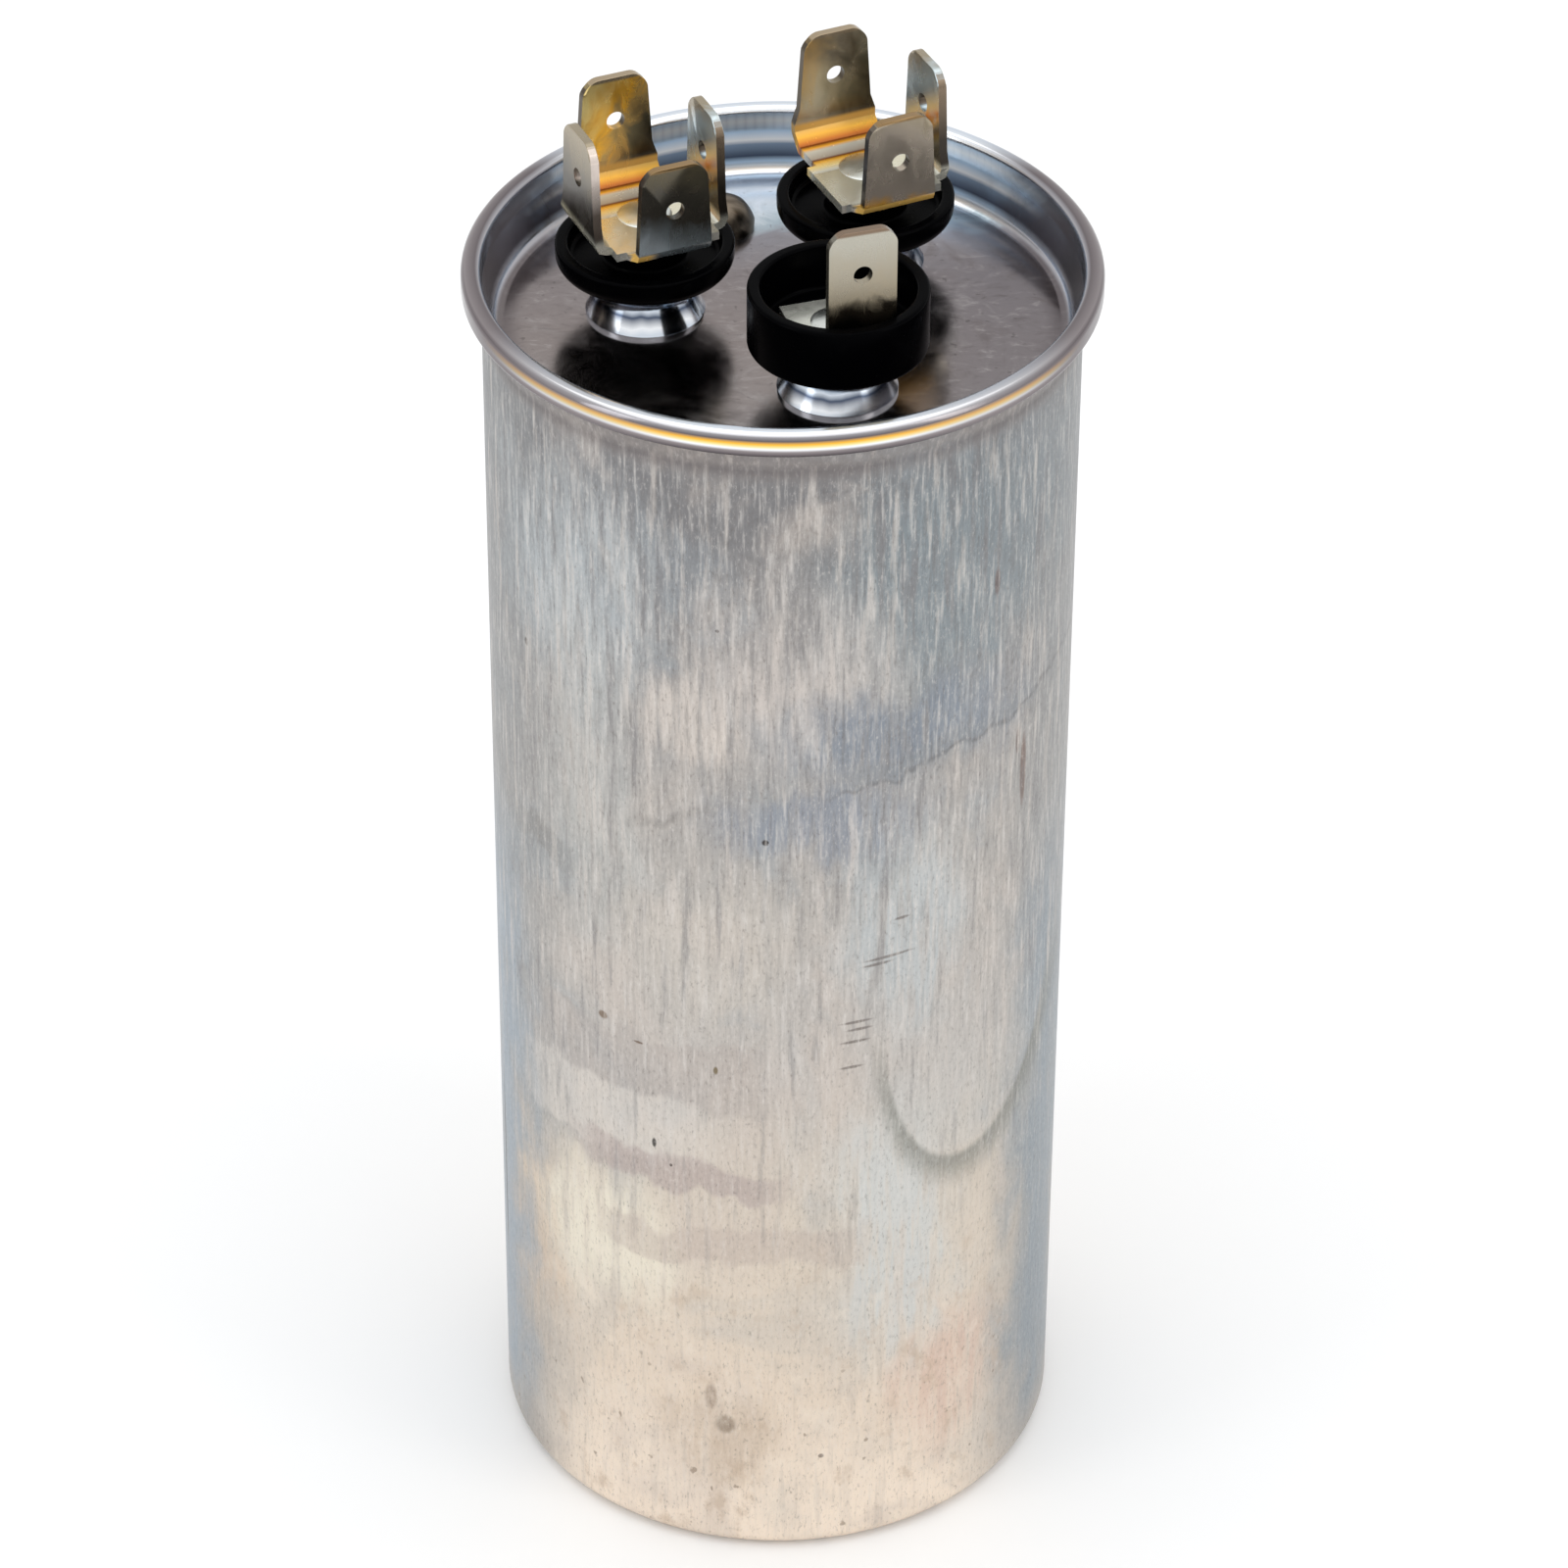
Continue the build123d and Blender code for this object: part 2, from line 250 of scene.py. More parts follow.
def lathe(name, corners, material, segments, centre=(0.0, 0.0), shape=None):
    """Turned piece from a closed outline of radius and height, in millimetres."""
    outline = rounded(corners)
    mesh = bpy.data.meshes.new(name)
    bm = bmesh.new()
    rings = []
    for radius, height in outline:
        if radius < 1e-6:
            rings.append([bm.verts.new((centre[0] * MM, centre[1] * MM, height * MM))])
            continue
        ring = []
        for k in range(segments):
            angle = 2 * math.pi * k / segments
            point = Vector((radius * math.cos(angle), radius * math.sin(angle), height))
            if shape:
                point = shape(point)
            ring.append(bm.verts.new(((point.x + centre[0]) * MM, (point.y + centre[1]) * MM, point.z * MM)))
        rings.append(ring)
    for index, low in enumerate(rings):
        high = rings[(index + 1) % len(rings)]
        if len(low) == 1 and len(high) == 1:
            continue
        for k in range(segments):
            after = (k + 1) % segments
            if len(low) == 1:
                bm.faces.new((low[0], high[after], high[k]))
            elif len(high) == 1:
                bm.faces.new((low[k], low[after], high[0]))
            else:
                bm.faces.new((low[k], low[after], high[after], high[k]))
    bmesh.ops.recalc_face_normals(bm, faces=bm.faces)
    bm.to_mesh(mesh)
    bm.free()
    return new_object(name, mesh, material)


def finish_piece(piece, slot, *nodes):
    """Hang a piece on the body and hide the nodes that it stands for. The slot, its finish's name, is not
    used.
    """
    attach(piece, "root")
    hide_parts(*nodes)


class Shader:
    """Small helper for building one material's nodes."""

    def __init__(self, name):
        self.material = bpy.data.materials.new(name)
        self.material.use_nodes = True
        self.tree = self.material.node_tree
        self.tree.nodes.clear()
        self.output = self.add("ShaderNodeOutputMaterial")
        self.shader = self.add("ShaderNodeBsdfPrincipled")
        self.link(self.shader.outputs[0], self.output.inputs[0])
        self.place = self.add("ShaderNodeTexCoord").outputs["Object"]

    def add(self, kind, **values):
        node = self.tree.nodes.new(kind)
        for key, value in values.items():
            setattr(node, key, value)
        return node

    def link(self, source, target):
        self.tree.links.new(source, target)

    def put(self, value, target):
        """Set a socket to a number or colour, or link it to another socket."""
        if hasattr(value, "is_linked"):
            self.link(value, target)
        else:
            target.default_value = value

    def set(self, **values):
        """Set the shader's own sockets."""
        for key, value in values.items():
            self.put(value, self.shader.inputs[key.replace("_", " ")])

    def scaled(self, x, y, z, shift=(0.0, 0.0, 0.0)):
        """Object coordinates in millimetres, stretched by these factors."""
        node = self.add("ShaderNodeMapping")
        self.link(self.place, node.inputs["Vector"])
        node.inputs["Scale"].default_value = (x * 1000, y * 1000, z * 1000)
        node.inputs["Location"].default_value = shift
        return node.outputs[0]

    def noise(self, vector, detail=4.0, roughness=0.55, distortion=0.0):
        node = self.add("ShaderNodeTexNoise")
        self.link(vector, node.inputs["Vector"])
        node.inputs["Scale"].default_value = 1.0
        node.inputs["Detail"].default_value = detail
        node.inputs["Roughness"].default_value = roughness
        node.inputs["Distortion"].default_value = distortion
        return node.outputs["Fac"]

    def ramp(self, value, low, high, out_low=0.0, out_high=1.0):
        """Smooth step of a value between two ends."""
        node = self.add("ShaderNodeMapRange", interpolation_type="SMOOTHSTEP")
        self.put(value, node.inputs["Value"])
        self.put(low, node.inputs["From Min"])
        self.put(high, node.inputs["From Max"])
        self.put(out_low, node.inputs["To Min"])
        self.put(out_high, node.inputs["To Max"])
        return node.outputs["Result"]

    def math(self, operation, a, b=0.0, c=0.0):
        node = self.add("ShaderNodeMath", operation=operation)
        for value, target in zip((a, b, c), node.inputs):
            self.put(value, target)
        return node.outputs[0]

    def product(self, *values):
        result = values[0]
        for value in values[1:]:
            result = self.math("MULTIPLY", result, value)
        return result

    def mix(self, factor, a, b, blend="MIX"):
        node = self.add("ShaderNodeMix", data_type="RGBA", blend_type=blend)
        self.put(factor, node.inputs[0])
        for value, target in ((a, node.inputs[6]), (b, node.inputs[7])):
            if isinstance(value, tuple):
                target.default_value = (*value, 1.0)
            else:
                self.put(value, target)
        return node.outputs[2]

    def gradient(self, value, low, high, stops):
        """Colour along a value from low to high. Stops are places in that span and their colours."""
        span = self.math("DIVIDE", self.math("SUBTRACT", value, low), high - low)
        node = self.add("ShaderNodeValToRGB")
        self.link(span, node.inputs[0])
        elements = node.color_ramp.elements
        while len(elements) < len(stops):
            elements.new(0.5)
        for element, (at, colour) in zip(elements, stops):
            element.position = (at - low) / (high - low)
            element.color = (*colour, 1.0)
        return node.outputs[0]

    def dot(self, vector, direction):
        node = self.add("ShaderNodeVectorMath", operation="DOT_PRODUCT")
        self.link(vector, node.inputs[0])
        node.inputs[1].default_value = direction
        return node.outputs["Value"]

    def axes(self, vector=None):
        """X, Y and Z of a point, in millimetres."""
        node = self.add("ShaderNodeSeparateXYZ")
        self.link(vector or self.scaled(1, 1, 1), node.inputs[0])
        return node.outputs

    def near(self, value, at, width):
        """One where a value is at this place, falling to nothing a width away."""
        gap = self.math("ABSOLUTE", self.math("SUBTRACT", value, at))
        return self.ramp(gap, width, 0.0)

    def oval(self, x, z, centre, radii):
        """Distance from the centre of an oval, which is one on its edge."""
        across = self.math("DIVIDE", self.math("SUBTRACT", x, centre[0]), radii[0])
        along = self.math("DIVIDE", self.math("SUBTRACT", z, centre[1]), radii[1])
        return self.math("SQRT", self.math("ADD", self.product(across, across), self.product(along, along)))

    def bump(self, height, strength, distance):
        node = self.add("ShaderNodeBump")
        node.inputs["Strength"].default_value = strength
        node.inputs["Distance"].default_value = distance * MM
        self.link(height, node.inputs["Height"])
        self.link(node.outputs[0], self.shader.inputs["Normal"])


def can_stains_and_edge_reflections(s, base, x, z, front, wave, streak):
    """Water stains, specks and scratches on the front of the can, with painted reflections and shade down
    its edges.
    """
    def paint(mask, colour, strength):
        nonlocal base
        base = s.mix(s.product(mask, front, strength), base, colour)

    lift = s.math("SUBTRACT", wave, 0.5)
    warped_z = s.math("MULTIPLY_ADD", lift, 14.0, z)
    warped_x = s.math("MULTIPLY_ADD", lift, -9.0, x)
    gentle_z = s.math("MULTIPLY_ADD", lift, 7.0, z)
    broken = s.ramp(streak, 0.36, 0.6, 0.35, 1.0)

    # Cool and pale patches: centre and radii seen from the front, colour and strength
    patches = [
        ((-18.0, 112.0), (7.0, 14.0), tone(194, 199, 201), 0.75),
        ((-17.0, 88.0), (4.5, 18.0), tone(188, 190, 188), 0.6),
        ((14.0, 114.0), (12.0, 14.0), tone(138, 148, 153), 0.9),
        ((1.0, 106.0), (9.0, 10.0), tone(212, 203, 196), 0.7),
        ((-8.0, 99.0), (5.0, 5.0), tone(216, 206, 197), 0.7),
        ((11.0, 98.0), (11.0, 5.5), tone(136, 144, 154), 1.0),
        ((4.0, 88.5), (10.0, 4.0), tone(144, 150, 160), 0.9),
        ((12.0, 76.0), (6.0, 12.0), tone(188, 194, 196), 0.85),
        ((-6.0, 74.0), (9.0, 9.0), tone(204, 197, 188), 0.7),
        ((11.0, 38.0), (6.0, 17.0), tone(207, 209, 207), 0.9),
        ((-17.0, 36.0), (7.0, 9.0), tone(236, 229, 212), 0.9),
        ((-5.0, 15.0), (6.0, 7.0), tone(202, 184, 164), 0.6),
        ((17.0, 18.0), (5.0, 9.0), tone(216, 188, 172), 0.7),
        ((-24.0, 30.0), (2.6, 14.0), tone(222, 198, 172), 0.5),
    ]
    for centre, radii, colour, strength in patches:
        blot = s.ramp(s.oval(warped_x, warped_z, centre, radii), 1.35, 0.45)
        paint(s.product(blot, broken), colour, strength)

    # Painted reflection: cool bands down both edges of the lower half
    for at, width, colour in ((-27.0, 4.4, tone(160, 171, 181)), (25.6, 5.0, tone(148, 158, 166))):
        band = s.product(s.near(warped_x, at, width), s.ramp(z, 84.0, 62.0), s.ramp(z, 0.0, 8.0))
        paint(band, colour, 0.85)

    # Tide marks: upper and lower edge at the middle, slope, ends, colour and strength
    tides = [
        (63.0, 55.5, 0.04, (-25.0, 2.0), tone(182, 173, 167), 0.5),
        (55.5, 48.0, 0.04, (-26.0, -4.0), tone(222, 214, 205), 0.5),
        (48.0, 44.4, -0.06, (-21.0, 3.0), tone(182, 168, 163), 0.7),
        (40.5, 36.6, 0.06, (-19.0, 11.0), tone(194, 180, 170), 0.5),
        (36.6, 33.0, 0.08, (-22.0, -6.0), tone(232, 224, 208), 0.4),
        (93.0, 90.6, 0.20, (3.0, 26.0), tone(142, 146, 150), 0.55),
        (93.6, 92.6, 0.45, (-16.0, -3.0), tone(150, 146, 142), 0.6),
        (78.5, 75.5, -0.12, (-27.0, -17.0), tone(140, 137, 133), 0.55),
    ]
    for high, low, slope, (start, end), colour, strength in tides:
        level = s.math("MULTIPLY_ADD", x, -slope, gentle_z)
        inside = s.product(s.ramp(level, low - 0.5, low + 0.5), s.ramp(level, high + 0.5, high - 0.5))
        shown = s.product(s.ramp(x, start, start + 5.0), s.ramp(x, end, end - 6.0))
        paint(s.product(inside, shown), colour, strength)

    # Thin dark edge of the sloping stain on the right
    slant = s.math("SUBTRACT", s.math("MULTIPLY_ADD", lift, 6.0, z), s.math("MULTIPLY_ADD", x, 0.22, 90.6))
    paint(s.product(s.near(slant, 0.0, 0.5), s.ramp(x, 3.0, 7.0), broken), tone(112, 111, 112), 0.6)

    # Run of dried water on the right: a pale hanging loop with a soft dark edge outside it
    loop = s.oval(x, z, (17.9, 63.5), (7.9, 17.8))
    below = s.ramp(z, 68.0, 52.0)
    paint(s.product(s.ramp(loop, 1.02, 0.9), below), tone(196, 197, 195), 0.3)
    paint(s.product(s.ramp(loop, 0.96, 1.02), s.ramp(loop, 1.26, 1.02), below), tone(142, 142, 135), 0.75)

    # Small marks: specks and brown streaks, and a thin dark line of painted shade down the left edge
    marks = [
        ((-1.3, 87.4), (0.36, 0.36), tone(40, 36, 34), 0.95),
        ((-11.8, 49.8), (0.24, 0.6), tone(52, 48, 46), 0.9),
        ((-10.2, 47.6), (0.16, 0.2), tone(70, 60, 54), 0.9),
        ((-23.4, 100.7), (0.18, 0.5), tone(60, 58, 56), 0.9),
        ((22.6, 87.4), (0.3, 4.4), tone(122, 98, 86), 0.75),
        ((22.0, 91.2), (0.2, 1.6), tone(110, 92, 84), 0.6),
        ((19.6, 111.0), (0.3, 1.6), tone(110, 94, 90), 0.75),
        ((-5.7, 110.6), (0.2, 0.2), tone(80, 74, 72), 0.8),
        ((-16.6, 63.0), (0.45, 0.5), tone(116, 92, 66), 0.8),
        ((-13.2, 61.4), (0.5, 0.16), tone(110, 90, 74), 0.8),
        ((-5.9, 60.2), (0.25, 0.5), tone(112, 96, 60), 0.8),
        ((-5.0, 16.0), (1.1, 1.3), tone(158, 142, 126), 0.8),
        ((-6.4, 19.4), (0.7, 1.8), tone(170, 152, 136), 0.7),
        ((4.4, 12.0), (0.3, 0.3), tone(120, 108, 98), 0.8),
        ((-26.98, 31.0), (0.07, 14.0), tone(88, 88, 88), 0.75),
    ]
    for centre, radii, colour, strength in marks:
        paint(s.ramp(s.oval(x, z, centre, radii), 1.15, 0.6), colour, strength)

    # Rows of short scratches: middle, level and half length
    scratches = [(11.4, 76.9, 0.8), (10.2, 72.8, 2.6), (9.2, 72.2, 1.6), (7.3, 65.9, 1.7), (7.6, 65.0, 1.4),
                 (7.2, 63.6, 1.6), (6.9, 60.6, 1.3)]
    for at, level, reach in scratches:
        dash = s.oval(x, s.math("MULTIPLY_ADD", x, -0.05, z), (at, level - 0.4), (reach, 0.2))
        paint(s.ramp(dash, 1.15, 0.5), tone(112, 103, 97), 0.7)
    return base


def can_material():
    """Dull drawn aluminium: fine upright streaks and grain, cool above, warm and pale towards the floor,
    with painted shade at its sides and under the seam.
    """
    s = Shader("can_aluminium")
    x, y, z = s.axes()
    grain = s.noise(s.scaled(3.6, 3.6, 1.5), 3.0, 0.7)
    fine = s.noise(s.scaled(2.2, 2.2, 0.2), 4.0, 0.6)
    streak = s.noise(s.scaled(0.95, 0.95, 0.085, (3.0, 1.0, 2.0)), 5.0, 0.6)
    patch = s.noise(s.scaled(0.07, 0.07, 0.05), 5.0, 0.6, 0.6)
    wave = s.noise(s.scaled(0.17, 0.17, 0.09, (4.0, 2.0, 1.0)), 4.0, 0.55, 0.4)
    # Darker towards the top, warm and pale towards the floor: partly the metal's own tone, partly painted
    # light that lifts the foot out of the floor's shade
    shift = s.product(s.math("SUBTRACT", patch, 0.5), 30.0)
    base = s.gradient(s.math("ADD", z, shift), 0.0, CAN_HEIGHT, [
        (3.0, tone(243, 229, 213)),
        (20.0, tone(227, 212, 195)),
        (42.0, tone(214, 203, 189)),
        (56.0, tone(196, 190, 184)),
        (82.0, tone(182, 177, 172)),
        (102.0, tone(165, 162, 160)),
        (122.0, tone(130, 129, 130)),
    ])
    upper = s.ramp(z, 26.0, 70.0, 0.3, 1.0)
    base = s.mix(s.product(s.ramp(patch, 0.5, 0.66), upper, 0.5), base, tone(160, 167, 172))
    base = s.mix(s.product(s.ramp(patch, 0.48, 0.34), 0.45), base, tone(206, 194, 184))
    # Painted shade: greyer towards the left and right edges of the can
    edge = s.ramp(s.math("ABSOLUTE", x), 18.0, 26.5)
    base = s.mix(s.product(edge, 0.65), base, tone(146, 148, 149))
    front = s.ramp(y, 6.0, -2.0)
    base = can_stains_and_edge_reflections(s, base, x, z, front, wave, streak)
    base = s.mix(s.product(s.ramp(streak, 0.52, 0.7), upper, 0.55), base, tone(216, 208, 201))
    base = s.mix(s.product(s.ramp(streak, 0.46, 0.3), upper, 0.5), base, tone(128, 126, 127))
    needles = s.ramp(z, 40.0, 104.0, 0.3, 1.0)
    base = s.mix(s.product(s.ramp(fine, 0.5, 0.74), upper, 0.5), base, tone(222, 217, 212))
    base = s.mix(s.product(s.ramp(fine, 0.5, 0.24), needles, 0.45), base, tone(116, 113, 112))
    base = s.mix(s.ramp(grain, 0.52, 0.8, 0.0, 0.4), base, tone(232, 226, 220))
    base = s.mix(s.ramp(grain, 0.48, 0.2, 0.0, 0.5), base, tone(108, 101, 96))
    mottle = s.noise(s.scaled(0.32, 0.32, 0.24), 5.0, 0.65)
    lower = s.product(s.ramp(z, 46.0, 24.0), s.ramp(s.math("ABSOLUTE", x), 25.0, 20.0))
    base = s.mix(s.product(s.ramp(mottle, 0.54, 0.72), lower, 0.5), base, tone(192, 171, 150))
    base = s.mix(s.product(s.ramp(mottle, 0.46, 0.3), lower, 0.35), base, tone(240, 229, 214))
    pits = s.noise(s.scaled(0.85, 0.85, 0.7), 2.0, 0.5)
    pitted = s.product(s.ramp(pits, 0.69, 0.76), s.ramp(z, 34.0, 14.0, 0.12, 0.55))
    base = s.mix(pitted, base, tone(132, 112, 94))
    # Painted shadow under the seam: a dark line at the flare's foot and darker just below the seam, on a
    # greyer flare
    neck = s.gradient(z, FLARE_FOOT - 2.2, SEAM_FOOT + 0.4, [
        (FLARE_FOOT - 1.6, tone(152, 146, 143)),
        (FLARE_FOOT - 0.2, tone(112, 103, 101)),
        (FLARE_FOOT + 0.8, tone(150, 141, 136)),
        (SEAM_FOOT - 0.4, tone(140, 131, 127)),
        (SEAM_FOOT, tone(84, 76, 76)),
    ])
    base = s.mix(s.ramp(z, FLARE_FOOT - 2.0, FLARE_FOOT - 0.4, 0.0, 0.5), base, neck)
    s.set(Base_Color=base, Metallic=1.0, Roughness=s.ramp(streak, 0.3, 0.7, 0.44, 0.54))
    s.bump(fine, 0.16, 0.02)
    return s.material


def lid_material():
    """Polished tinplate: smeared panel with a painted bright reflection, a crescent at the back; wall and
    rolled edge banded with painted reflections.
    """
    s = Shader("lid_tinplate")
    x, y, z = s.axes()
    smear = s.noise(s.scaled(0.14, 0.14, 0.14), 5.0, 0.6, 1.2)
    brushed = s.noise(s.scaled(0.3, 2.6, 0.5), 3.0, 0.5)
    speck = s.noise(s.scaled(1.5, 1.5, 1.5), 2.0, 0.5)
    drift = s.product(s.math("SUBTRACT", smear, 0.5), 9.0)
    reach = s.math("SQRT", s.math("ADD", s.product(x, x), s.product(y, y)))

    # Painted reflection: the panel darker in front and bright towards the back
    panel = s.gradient(s.math("ADD", y, drift), -27.0, 27.0, [
        (-25.0, tone(112, 108, 110)),
        (-14.0, tone(150, 141, 138)),
        (-4.0, tone(144, 134, 131)),
        (8.0, tone(138, 130, 130)),
        (15.0, tone(146, 144, 150)),
        (18.0, tone(176, 190, 198)),
        (20.5, TIN_WHITE),
    ])
    # Painted reflection of the cups: darker on the right, towards the back
    panel = s.mix(s.product(s.ramp(x, 6.0, 20.0), s.ramp(y, 16.0, 8.0), 0.55), panel, tone(112, 108, 114))
    rubbed = s.noise(s.scaled(0.45, 0.9, 0.5), 5.0, 0.7, 0.6)
    marked = s.ramp(y, 18.0, 10.0)
    panel = s.mix(s.product(s.ramp(smear, 0.52, 0.74), marked, 0.5), panel, tone(186, 180, 178))
    panel = s.mix(s.product(s.ramp(smear, 0.44, 0.26), marked, 0.45), panel, tone(92, 82, 79))
    panel = s.mix(s.product(s.ramp(rubbed, 0.52, 0.74), marked, 0.4), panel, tone(192, 186, 184))
    panel = s.mix(s.product(s.ramp(rubbed, 0.48, 0.26), marked, 0.4), panel, tone(84, 76, 74))
    panel = s.mix(s.product(s.ramp(speck, 0.66, 0.74), 0.4), panel, tone(66, 60, 58))
    # Painted shade: a darker ring at the panel's edge near the wall, except at the back
    panel = s.mix(s.product(s.ramp(reach, 23.6, 25.4), s.ramp(y, 17.0, 12.0), 0.6), panel, tone(96, 88, 90))

    rise = s.math("SUBTRACT", z, LID_TOP)
    # Wall: painted reflection bands by height, bright at the back and duller at the sides, with painted
    # shade on the right
    back_wall = s.gradient(rise, -0.3, LID_DEPTH, [
        (0.0, BRASS_TAN),
        (0.9, TIN_ICE),
        (1.4, TIN_SLATE),
        (2.5, TIN_HAZE),
        (2.9, TIN_WHITE),
        (3.7, TIN_ICE),
        (4.8, TIN_WHITE),
        (5.8, TIN_ICE),
    ])
    side_wall = s.gradient(rise, -0.3, LID_DEPTH, [
        (0.2, TIN_SILVER),
        (0.8, TIN_SILVER),
        (1.4, TIN_DARK),
        (4.6, TIN_DULL),
        (5.6, TIN_DARK),
        (6.0, TIN_GREY),
    ])
    wall = s.mix(s.ramp(s.math("ADD", y, drift), 13.0, 22.0), side_wall, back_wall)
    shade = s.product(s.ramp(x, 12.0, 24.0), s.ramp(y, 14.0, 4.0), s.ramp(rise, 0.8, 1.6), 0.6)
    wall = s.mix(shade, wall, TIN_NIGHT)

    # Rolled edge with painted reflection bands: in front they run down its outer face, elsewhere it is
    # duller
    below = s.math("SUBTRACT", CAN_HEIGHT, z)
    fall = s.math("ADD", s.product(reach, RIM_SLOPE[0]), s.product(below, RIM_SLOPE[1]))
    front_rim = s.gradient(fall, 16.4, 19.4, [
        (16.6, TIN_PALE),
        (17.0, TIN_WHITE),
        (17.3, TIN_SILVER),
        (17.7, TIN_DULL),
        (18.0, BRASS_GOLD),
        (18.2, BRASS_STRAW),
        (18.4, TIN_WHITE),
        (18.6, TIN_GREY),
        (18.95, TIN_DARK),
    ])
    front_rim = s.mix(s.ramp(s.math("ABSOLUTE", x), 6.0, 20.0, 0.0, 0.45), front_rim, TIN_GREY)
    out = s.math("SUBTRACT", reach, CHUCK_IN)
    side_rim = s.gradient(out, -0.17, 1.93, [
        (-0.02, TIN_DARK),
        (0.15, TIN_SILVER),
        (0.53, TIN_DULL),
        (1.48, TIN_GREY),
        (1.68, TIN_DULL),
    ])
    back_rim = s.gradient(out, -0.17, 1.93, [
        (0.13, TIN_WHITE),
        (1.03, TIN_PALE),
        (1.63, TIN_WHITE),
    ])
    rim = s.mix(s.ramp(y, -11.0, -23.0), side_rim, front_rim)
    rim = s.mix(s.ramp(y, 15.0, 23.0), rim, back_rim)
    base = s.mix(s.ramp(rise, 0.1, 0.4), panel, wall)
    rolled = s.math("MULTIPLY_ADD", s.math("SUBTRACT", rise, 5.8), 0.2, out)
    base = s.mix(s.ramp(rolled, -0.07, 0.05), base, rim)
    # Less metallic on the back wall, so that its painted reflection bands show
    back = s.product(s.ramp(rise, 0.1, 0.5), s.ramp(out, 0.05, -0.05), s.ramp(y, 12.0, 20.0))
    s.set(Base_Color=base, Metallic=s.ramp(back, 0.0, 1.0, 1.0, 0.25))
    s.set(Roughness=s.ramp(smear, 0.3, 0.75, 0.12, 0.26))
    s.bump(brushed, 0.05, 0.01)
    return s.material


def tin_material(name, dark, light, rough):
    """Bright metal with faint smears and fine scratches."""
    s = Shader(name)
    smear = s.noise(s.scaled(0.3, 0.3, 0.3), 5.0, 0.6, 1.2)
    scratch = s.noise(s.scaled(0.6, 3.0, 0.5), 3.0, 0.5)
    base = s.mix(s.ramp(smear, 0.35, 0.65), dark, light)
    s.set(Base_Color=base, Metallic=1.0, Roughness=s.ramp(smear, 0.3, 0.75, rough, rough + 0.12))
    s.bump(scratch, 0.05, 0.01)
    return s.material


def collar_material():
    """Bright drawn tinplate, with painted reflection bands: a dark band round its neck and soft light and
    dark stretches.
    """
    s = Shader("collar_tinplate")
    z = s.axes()[2]
    stretch = s.noise(s.scaled(0.3, 0.12, 0.04), 2.0, 0.4)
    level = s.math("MULTIPLY_ADD", s.math("SUBTRACT", stretch, 0.5), 2.0, z)
    # Painted reflections by height: bright near the foot, dark under the cup
    base = s.gradient(level, LID_TOP - 0.5, CUP_SEAT, [
        (LID_TOP + 0.2, TIN_PALE),
        (LID_TOP + 0.7, TIN_WHITE),
        (LID_TOP + 1.6, TIN_SLATE),
        (LID_TOP + 2.1, TIN_PALE),
        (LID_TOP + 2.7, TIN_HAZE),
        (LID_TOP + 3.4, TIN_NIGHT),
    ])
    s.set(Base_Color=base, Metallic=1.0, Roughness=s.ramp(stretch, 0.3, 0.7, 0.12, 0.2))
    s.bump(s.noise(s.scaled(1.5, 1.5, 4.0), 2.0, 0.5), 0.04, 0.01)
    return s.material


def cup_material():
    """Black moulded plastic, a little shiny, with a trace of dust in its grain."""
    s = Shader("cup_plastic")
    grain = s.noise(s.scaled(1.6, 1.6, 1.6), 4.0, 0.6)
    dust = s.noise(s.scaled(0.3, 0.3, 0.3), 6.0, 0.65)
    base = s.mix(s.ramp(dust, 0.55, 0.85, 0.0, 0.6), tone(2, 2, 3), tone(9, 9, 10))
    s.set(Base_Color=base, Roughness=s.ramp(dust, 0.3, 0.7, 0.18, 0.32), Specular_IOR_Level=0.018)
    s.bump(grain, 0.06, 0.03)
    return s.material


